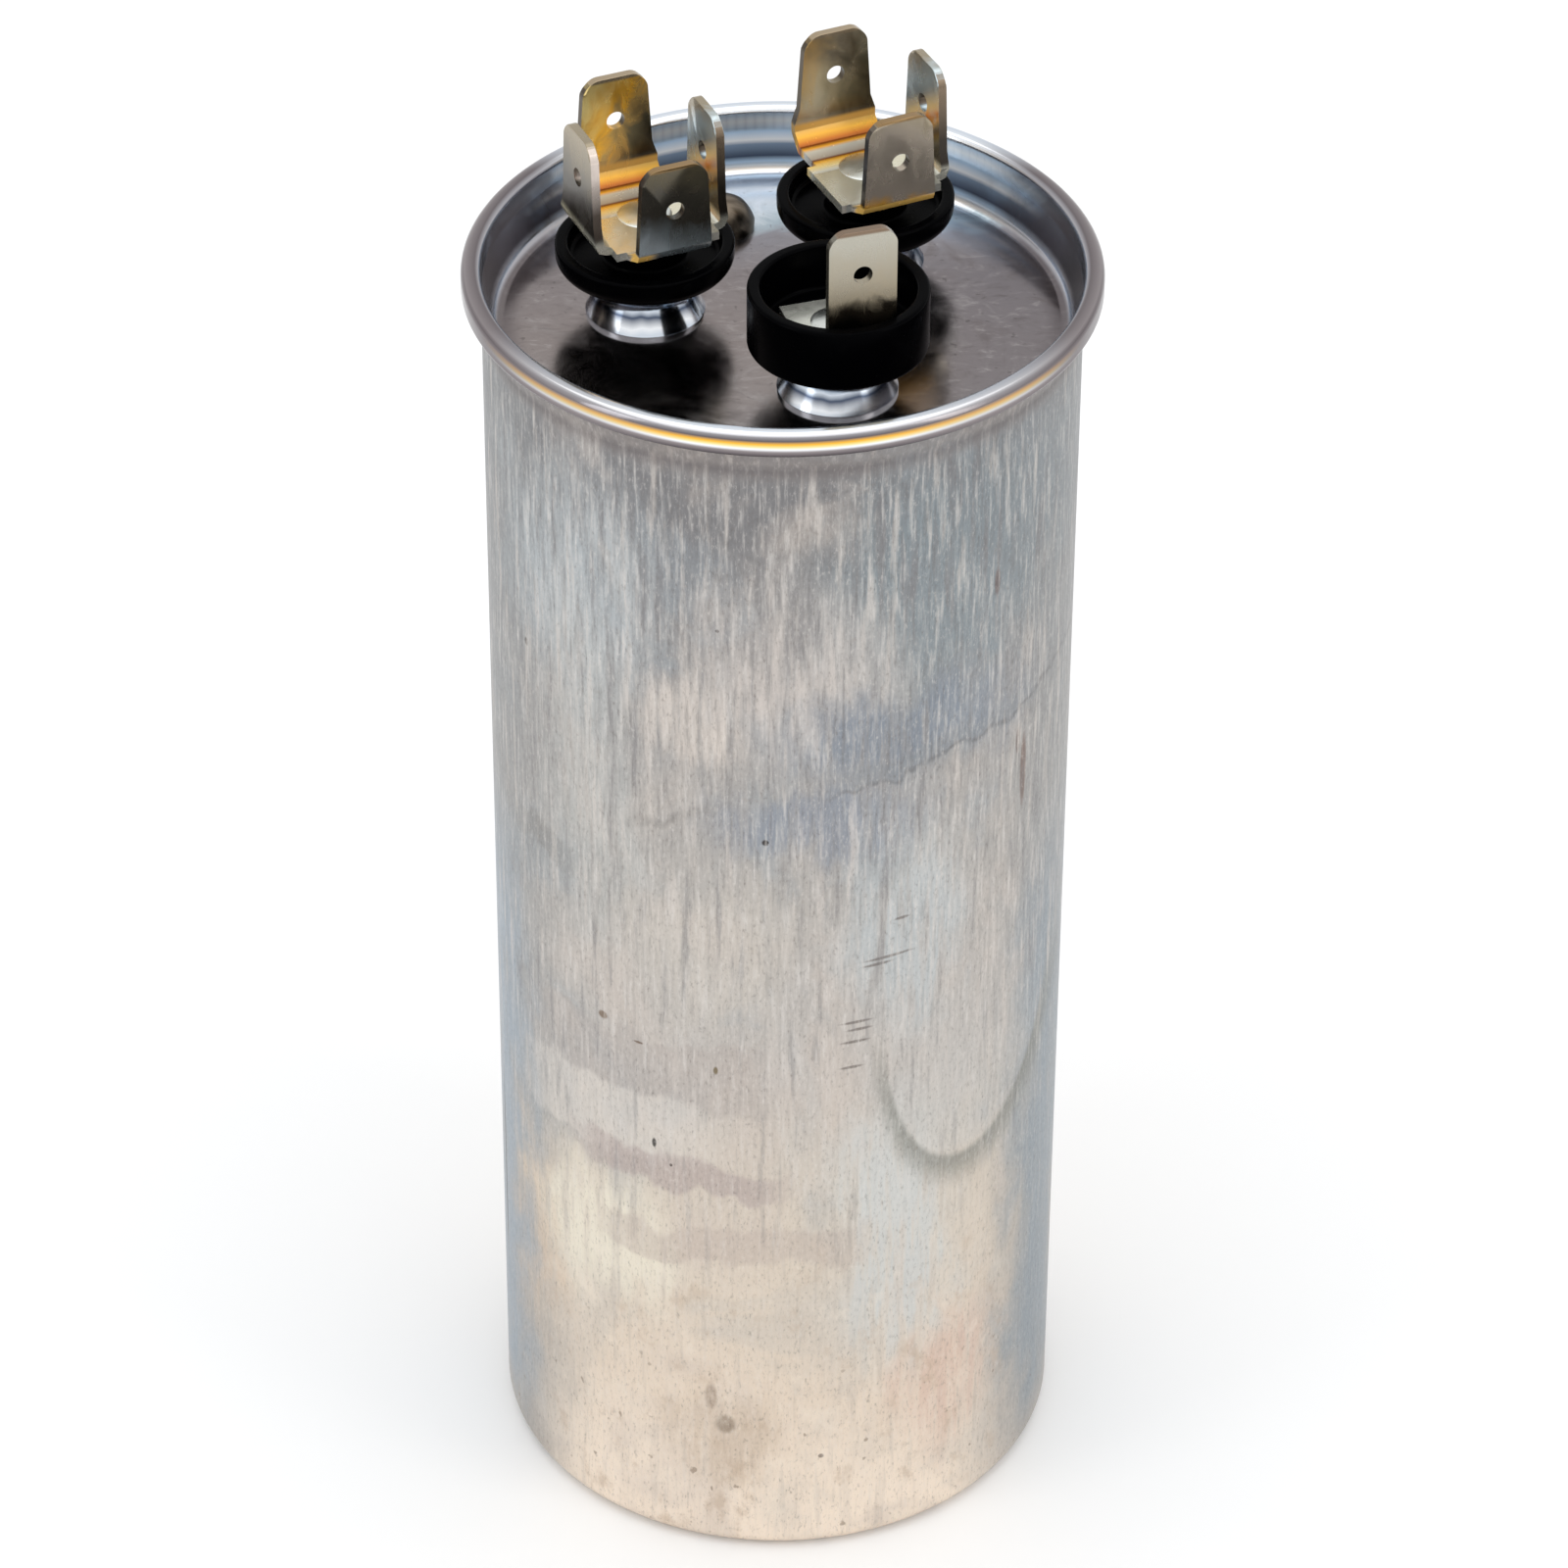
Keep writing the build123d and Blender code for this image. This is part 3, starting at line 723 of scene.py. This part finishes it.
def blade_material(name, turn, seat, looks):
    """Tinned brass sheet of one terminal, with the painted reflections, glints and shade that each of its
    blades takes.
    """
    s = Shader(f"{name}_brass")
    x, y, z = s.axes()
    at = centre_of(f"{name}_cup")
    c, d = math.cos(math.radians(turn)), math.sin(math.radians(turn))
    along = s.math("SUBTRACT", x, at[0])
    across = s.math("SUBTRACT", y, at[1])
    u = s.math("ADD", s.product(along, c), s.product(across, d))
    v = s.math("SUBTRACT", s.product(across, c), s.product(along, d))
    h = s.math("SUBTRACT", z, seat)
    smear = s.noise(s.scaled(0.4, 0.4, 0.25), 5.0, 0.6, 0.8)
    rolled = s.noise(s.scaled(2.0, 2.0, 0.3), 3.0, 0.5)
    cloud = s.math("SUBTRACT", smear, 0.5)
    soft_h = s.math("MULTIPLY_ADD", cloud, 5.0, h)
    normal = s.add("ShaderNodeNewGeometry").outputs["True Normal"]
    turned_u = s.ramp(s.math("ABSOLUTE", s.dot(normal, (c, d, 0.0))), 0.5, 0.8)
    turned_v = s.ramp(s.math("ABSOLUTE", s.dot(normal, (-d, c, 0.0))), 0.5, 0.8)
    base = s.gradient(s.math("MULTIPLY_ADD", cloud, 1.2, v), -6.0, 4.0, looks["base"])

    def lay(mask, colour):
        nonlocal base
        base = s.mix(mask, base, colour)

    if name == "fan":
        s.set(Metallic=0.78)
        # Painted reflection on the fan blade: dark low down and lighter above, with darker sheet edges and a
        # brown top edge
        face = s.product(s.ramp(v, -3.6, -4.2), s.ramp(h, 1.0, 1.6))
        lay(face, s.gradient(soft_h, 0.0, 14.0, looks["front"]))
        lay(s.product(face, turned_u), tone(92, 88, 78))
        lay(s.product(face, s.ramp(h, 12.7, 12.95)), tone(132, 112, 94))
    else:
        # Painted reflection bands across the ramp
        strip = s.product(s.ramp(v, 0.4, 0.9), s.ramp(h, 3.4, 2.6), s.ramp(s.math("ABSOLUTE", u), 5.4, 4.9))
        lay(strip, s.gradient(v, 0.0, 8.0, looks["ramp"]))
        # Painted highlight on the back blade, brightest up and to the left, with darker sheet edges and a
        # pale top edge
        glow = s.math("ADD", s.math("MULTIPLY_ADD", u, -0.13, 0.42), s.math("MULTIPLY_ADD", h, 0.06, -0.42))
        glow = s.math("MULTIPLY_ADD", cloud, 1.1, glow)
        back = s.product(s.ramp(v, 6.3, 6.6), s.ramp(h, 2.3, 2.8))
        lay(back, s.gradient(glow, -0.4, 1.2, looks["back"]))
        lay(s.product(back, turned_u), tone(78, 68, 54))
        lay(s.product(back, s.ramp(h, 11.0, 11.25)), tone(170, 152, 126))
        # Painted shade and highlight on the left blade: dark low down and lighter above, its front edges
        # dark below and bright above
        left = s.product(s.ramp(u, -5.3, -5.7), s.ramp(h, 1.0, 2.0))
        lay(left, s.gradient(soft_h, 0.0, 11.0, looks["left"]))
        edge = s.gradient(h, 0.0, 11.0, [(4.0, tone(84, 74, 66)), (8.0, tone(226, 212, 202))])
        lay(s.product(left, turned_v), edge)
        # Painted reflection on the right blade: dark low down, a tan glint and pale above, with darker front
        # edges
        right = s.product(s.ramp(u, 5.3, 5.7), s.ramp(h, 1.0, 2.0))
        lay(right, s.gradient(s.math("MULTIPLY_ADD", v, 0.5, soft_h), 0.0, 12.0, looks["right"]))
        edge = s.gradient(h, 0.0, 11.0, [(4.0, tone(58, 52, 46)), (9.0, tone(128, 112, 94))])
        lay(s.product(right, turned_v), edge)
        # Painted reflection on the front blade, with darker sheet edges and a brown top edge
        front = s.ramp(v, -6.1, -6.4)
        lay(front, s.gradient(s.math("MULTIPLY_ADD", u, 0.25, soft_h), 0.0, 10.0, looks["front"]))
        lay(s.product(front, turned_u, s.ramp(h, 0.8, 1.4)), tone(70, 62, 54))
        lay(s.product(front, s.ramp(h, 9.2, 9.4)), tone(150, 122, 84))
        # Painted highlight: a bright gold line along the fold at the foot of the front blade
        reach = s.ramp(u, looks["fold"], looks["fold"] - 1.5)
        fold = s.product(s.ramp(v, -5.7, -6.2), s.ramp(h, 1.2, 0.85), reach)
        lay(fold, tone(255, 206, 112))
        # Less metallic where the fold's glint and the ramp's bands are painted, so that their colour shows
        dull = s.math("MAXIMUM", fold, s.product(strip, 0.6))
        s.set(Metallic=s.ramp(dull, 0.0, 1.0, 0.78, 0.15))
    s.set(Base_Color=base, Roughness=s.ramp(smear, 0.3, 0.7, 0.18, 0.3))
    s.bump(rolled, 0.02, 0.01)
    return s.material


def plain_material(name, colour, metallic, rough):
    """Simple finish for what lies out of sight in the can."""
    s = Shader(name)
    mottle = s.noise(s.scaled(0.4, 0.4, 0.4), 4.0, 0.6)
    dark = tuple(0.8 * c for c in colour)
    s.set(Base_Color=s.mix(mottle, dark, colour), Metallic=metallic, Roughness=rough)
    return s.material


def build_can(material):
    """Outer can with its rounded foot and the flare under the seam."""
    inner = CAN_RADIUS - CAN_WALL
    corners = [
        (0, 0),
        (CAN_RADIUS, 0, CAN_CORNER),
        (CAN_RADIUS, FLARE_FOOT, FLARE_ROUND),
        (MOUTH_OUT, SEAM_FOOT),
        (MOUTH_OUT - CAN_WALL, SEAM_FOOT),
        (inner, FLARE_FOOT),
        (inner, CAN_FLOOR, FLOOR_ROUND),
        (0, CAN_FLOOR),
    ]
    piece = lathe("can_shell", corners, material, WIDE_SIDES)
    finish_piece(piece, "can", "can")


def build_lid(material, collar_metal):
    """Sunk panel, chuck wall and rolled seam in one turned sheet, with the three drawn collars."""
    corners = [
        (0, LID_TOP),
        (CHUCK_FOOT, LID_TOP, LID_FILLET),
        (CHUCK_IN, SEAM_FOOT, CHUCK_ROUND),
        (CHUCK_IN, CAN_HEIGHT, SEAM_EDGE),
        (SEAM_OUT, CAN_HEIGHT, SEAM_TOP_ROUND),
        (SEAM_OUT, SEAM_FOOT, SEAM_FOOT_ROUND),
        (CHUCK_OUT, SEAM_FOOT),
        (CHUCK_FOOT + LID_SHEET, LID_TOP - LID_SHEET, LID_FILLET + LID_SHEET),
        (0, LID_TOP - LID_SHEET),
    ]
    panel = lathe("lid_sheet", corners, material, WIDE_SIDES)
    finish_piece(panel, "lid", "lid")
    neck = COLLAR_RADIUS - COLLAR_WAIST
    for name in TERMINALS:
        corners = [
            (neck - LID_SHEET, LID_TOP - LID_SHEET),
            (COLLAR_FOOT, LID_TOP - LID_SHEET),
            (COLLAR_FOOT, LID_TOP + COLLAR_LIP, COLLAR_LIP_ROUND),
            (neck + COLLAR_BEND_STEP, LID_TOP + COLLAR_BEND, COLLAR_BEND_ROUND),
            (neck, CUP_SEAT),
            (neck - LID_SHEET, CUP_SEAT),
        ]
        collar = lathe(f"{name}_collar", corners, collar_metal, CUP_SIDES, centre_of(f"{name}_cup"))
        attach(collar, "root")


def build_cups(material):
    """Two shallow moulded dishes with a hub, and the deep cup, all with rounded rims."""
    inner = CUP_RADIUS - CUP_WALL
    for name in TERMINALS:
        if name == "fan":
            rim = CUP_SEAT + DEEP_CUP_HEIGHT
            floor = CUP_SEAT + DEEP_CUP_FLOOR
            corners = [
                (BORE_RADIUS, CUP_SEAT),
                (CUP_RADIUS, CUP_SEAT, CUP_CREASE),
                (CUP_RADIUS, rim, CUP_EDGE),
                (inner, rim, CUP_EDGE),
                (inner, floor, CUP_CREASE),
                (BORE_RADIUS, floor),
            ]
        else:
            rim = CUP_SEAT + DISH_HEIGHT
            floor = CUP_SEAT + DISH_FLOOR
            seat = CUP_SEAT + RAISED_SEAT
            corners = [
                (BORE_RADIUS, CUP_SEAT),
                (CUP_RADIUS, CUP_SEAT, DISH_ROUND),
                (CUP_RADIUS, rim, CUP_EDGE),
                (inner, rim, CUP_EDGE),
                (inner, floor, CUP_CREASE),
                (HUB_RADIUS, floor, HUB_CREASE),
                (HUB_RADIUS, seat, HUB_EDGE),
                (BORE_RADIUS, seat),
            ]
        piece = lathe(f"{name}_cup_moulding", corners, material, CUP_SIDES, centre_of(f"{name}_cup"))
        finish_piece(piece, "cup", f"{name}_cup")


def terminal_copy(name, turn, seat, material):
    """Copy of a terminal with blades that taper up from their roots, rounded tip corners and eased tips."""
    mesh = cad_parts[f"{name}_terminal"].data.copy()
    mesh.materials.clear()
    bm = bmesh.new()
    bm.from_mesh(mesh)
    bmesh.ops.remove_doubles(bm, verts=bm.verts, dist=1e-6)
    bmesh.ops.dissolve_limit(bm, angle_limit=math.radians(1.0), verts=bm.verts, edges=bm.edges)
    at = centre_of(f"{name}_cup")
    local = Matrix.Rotation(-math.radians(turn), 4, "Z") @ Matrix.Translation((-at[0], -at[1], -seat))

    def place(vert):
        return local @ (vert.co / MM)

    def blade_height(point):
        if name == "fan":
            return FAN_HEIGHT
        if point.y < -FRONT_REACH + BLADE_SHEET:
            return FRONT_HEIGHT
        if point.y > BACK_REACH - BLADE_SHEET:
            return BACK_HEIGHT
        return SIDE_HEIGHT

    for vert in bm.verts:
        point = place(vert)
        height = blade_height(point)
        if height == FAN_HEIGHT:
            continue
        side = 1 if height == SIDE_HEIGHT else 0
        rise = BACK_RISE if height == BACK_HEIGHT else 0.0
        root = FRONT_ROOT if height == FRONT_HEIGHT else FOLD_WIDTH
        share = (SHOULDER_END - SHOULDER_START) / (height - TIP_CUT - rise - SHOULDER_START)
        if abs(point.z - rise - SHOULDER_END) < SAME:
            point[side] = math.copysign((root + (BLADE_WIDTH - root) * share) / 2, point[side])
        elif height == FRONT_HEIGHT and abs(abs(point.x) - ROOT_WIDTH / 2) < SAME:
            point[side] = math.copysign(root / 2, point[side])
        vert.co = (local.inverted() @ point) * MM

    def at_tip(edge):
        ends = [place(vert) for vert in edge.verts]
        return all(point.z > blade_height(point) - TIP_CUT - 0.05 for point in ends)

    corners = [edge for edge in bm.edges
               if at_tip(edge) and abs(edge.calc_length() / MM - BLADE_SHEET) < SAME]
    bmesh.ops.bevel(bm, geom=corners, offset=TIP_ROUND * MM, segments=4, profile=0.5, affect="EDGES",
                    clamp_overlap=True)
    rims = [edge for edge in bm.edges if at_tip(edge) and len(edge.link_faces) == 2
            and edge.calc_face_angle() > math.radians(70)]
    bmesh.ops.bevel(bm, geom=rims, offset=TIP_EASE * MM, segments=1, affect="EDGES", clamp_overlap=True)
    bm.to_mesh(mesh)
    bm.free()
    return new_object(f"{name}_blades", mesh, material, 30.0)


def build_terminals(steel):
    """Folded blades, and the flat set heads of the rivets that hold them."""
    plate = [(-6.0, BRASS_PLATE), (2.5, tone(236, 228, 198))]
    # Painted reflection bands across the ramp, from front to back
    step = [(0.8, BRASS_PLATE), (1.7, BRASS_STRAW), (2.4, BRASS_GOLD), (2.8, BRASS_RED_BROWN), (3.1, BRASS_BEIGE),
            (4.4, BRASS_PLATE), (4.9, BRASS_GOLD), (5.4, BRASS_RED_BROWN), (5.75, BRASS_AMBER), (6.2, BRASS_GOLD),
            (6.9, BRASS_TAN)]
    # Painted reflection on the right blades: dark low down, a tan glint, pale above
    right = [(1.0, BRASS_UMBER), (3.3, BRASS_OLIVE), (4.1, BRASS_TAN), (4.8, BRASS_COOL), (8.5, BRASS_ICE),
             (11.0, BRASS_PUTTY)]
    # Painted reflections, highlights and shade of each blade, by place on it
    looks = {
        "common": {
            "base": plate,
            "ramp": step,
            "back": [(-0.3, BRASS_UMBER), (0.05, BRASS_OLIVE), (0.35, BRASS_TAN), (0.52, BRASS_GOLD),
                     (0.9, BRASS_STRAW)],
            "left": [(1.0, BRASS_UMBER), (5.0, BRASS_SMOKE), (10.4, BRASS_PUTTY)],
            "right": right,
            "front": [(0.6, BRASS_COOL), (4.4, BRASS_SMOKE), (7.0, BRASS_SMOKE), (9.4, BRASS_OLIVE)],
            "fold": -1.2,
        },
        "compressor": {
            "base": plate,
            "ramp": step,
            "back": [(-0.3, BRASS_UMBER), (0.05, BRASS_OLIVE), (0.55, BRASS_PUTTY), (1.1, BRASS_TAN)],
            "left": [(1.0, BRASS_UMBER), (10.4, BRASS_PUTTY)],
            "right": right,
            "front": [(0.4, BRASS_GOLD), (1.6, BRASS_BEIGE), (7.6, BRASS_BEIGE), (9.6, BRASS_PUTTY)],
            "fold": 5.0,
        },
        "fan": {
            "base": [(-6.0, tone(204, 208, 192)), (3.0, BRASS_PLATE)],
            "front": [(3.6, tone(20, 20, 18)), (5.2, BRASS_UMBER), (6.4, BRASS_PUTTY),
                      (12.5, tone(184, 180, 167))],
        },
    }
    for name, turn in TERMINALS.items():
        seat = CUP_SEAT + (DEEP_CUP_FLOOR if name == "fan" else RAISED_SEAT)
        piece = terminal_copy(name, turn, seat, blade_material(name, turn, seat, looks[name]))
        finish_piece(piece, "terminal", f"{name}_terminal")
        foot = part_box(f"{name}_rivet")[0][2] / MM
        face = seat + BLADE_SHEET
        corners = [
            (0, foot),
            (RIVET_RADIUS, foot, RIVET_EDGE),
            (RIVET_RADIUS, face),
            (RIVET_HEAD_RADIUS, face),
            (RIVET_HEAD_RADIUS - RIVET_EDGE, face + RIVET_SET),
            (0, face + RIVET_SET),
        ]
        rivet = lathe(f"{name}_rivet_set", corners, steel, SMALL_SIDES, centre_of(f"{name}_cup"))
        finish_piece(rivet, "rivet", f"{name}_rivet")


def build_plug(material):
    """Lump of solder: a low dome, slightly uneven."""
    low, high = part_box("fill_plug")
    radius = (high[0] - low[0]) / 2 / MM
    height = (high[2] - low[2]) / MM

    def lump(point):
        shrink = 1 - PLUG_DENT * abs(noise.noise(point * PLUG_WAVE))
        return Vector((point.x * shrink, point.y * shrink, point.z))

    corners = [
        (0, LID_TOP),
        (radius, LID_TOP),
        (radius, LID_TOP + height, radius * PLUG_ROUND),
        (0, LID_TOP + height),
    ]
    piece = lathe("solder_dome", corners, material, SMALL_SIDES, centre_of("fill_plug"), lump)
    finish_piece(piece, "fill_plug", "fill_plug")


def dress_inside():
    """Finishes for the nodes that stay as they are, out of sight in the can."""
    washer = plain_material("washer_plastic", (0.05, 0.05, 0.05), 0.0, 0.5)
    copper = plain_material("lead_tinned", (0.62, 0.55, 0.47), 1.0, 0.35)
    film = plain_material("film_roll", (0.6, 0.6, 0.62), 0.6, 0.4)
    card = plain_material("pressed_card", (0.6, 0.52, 0.38), 0.0, 0.8)
    finishes = {"film_winding": film, "insulating_card": card}
    for name in TERMINALS:
        finishes[f"{name}_washer"] = washer
        finishes[f"{name}_lead"] = copper
    for node, material in finishes.items():
        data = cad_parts[node].data
        data.materials.clear()
        data.materials.append(material)


def area_light(name, at, target, size, power, colour):
    """Rectangular soft light that faces a point."""
    light = bpy.data.lights.new(name, "AREA")
    light.shape = "RECTANGLE"
    light.size, light.size_y = size
    light.energy = power
    light.color = colour
    item = bpy.data.objects.new(name, light)
    bpy.context.scene.collection.objects.link(item)
    item.location = at
    item.rotation_euler = (Vector(target) - Vector(at)).to_track_quat("-Z", "Y").to_euler()


def build_stage():
    """Pale floor, soft studio light and a plain surround."""
    mesh = bpy.data.meshes.new("floor")
    corners = [(-1, -1), (1, -1), (1, 1), (-1, 1)]
    mesh.from_pydata([(x * FLOOR_HALF, y * FLOOR_HALF, 0) for x, y in corners], [], [(0, 1, 2, 3)])
    s = Shader("floor_paper")
    s.set(Base_Color=FLOOR_COLOUR, Roughness=FLOOR_ROUGHNESS)
    floor = new_object("floor", mesh, s.material)
    floor.location.z = -FLOOR_DROP
    world = bpy.data.worlds.new("surround")
    bpy.context.scene.world = world
    world.use_nodes = True
    back = world.node_tree.nodes["Background"]
    back.inputs["Color"].default_value = SURROUND_COLOUR
    back.inputs["Strength"].default_value = SURROUND_STRENGTH
    for light in LIGHTS:
        area_light(*light)
    bpy.context.scene.view_settings.view_transform = "Standard"


def build_camera():
    """Camera at the photograph's place and angle."""
    forward = Vector(CAMERA_FORWARD).normalized()
    side = forward.cross(Vector((0, 0, 1))).normalized()
    up = side.cross(forward)
    c, s = math.cos(CAMERA_ROLL), math.sin(CAMERA_ROLL)
    right = side * c + up * s
    top = up * c - side * s
    data = bpy.data.cameras.new("camera")
    data.sensor_width = SENSOR
    data.lens = FOCAL_PIXELS * SENSOR / PHOTO_SIZE
    data.shift_x = (PHOTO_SIZE / 2 - CAMERA_CENTRE_X) / PHOTO_SIZE
    data.clip_start = 0.01
    camera = bpy.data.objects.new("camera", data)
    bpy.context.scene.collection.objects.link(camera)
    turn = Matrix((right, top, -forward)).transposed().to_4x4()
    camera.matrix_world = Matrix.Translation(Vector(CAMERA_AT) * MM) @ turn
    bpy.context.scene.camera = camera


steel = tin_material("rivet_steel", tone(212, 215, 210), tone(230, 233, 228), 0.24)
solder = tin_material("solder_metal", tone(70, 62, 52), tone(122, 111, 98), 0.28)
build_can(can_material())
build_lid(lid_material(), collar_material())
build_cups(cup_material())
build_terminals(steel)
build_plug(solder)
dress_inside()
build_stage()
build_camera()
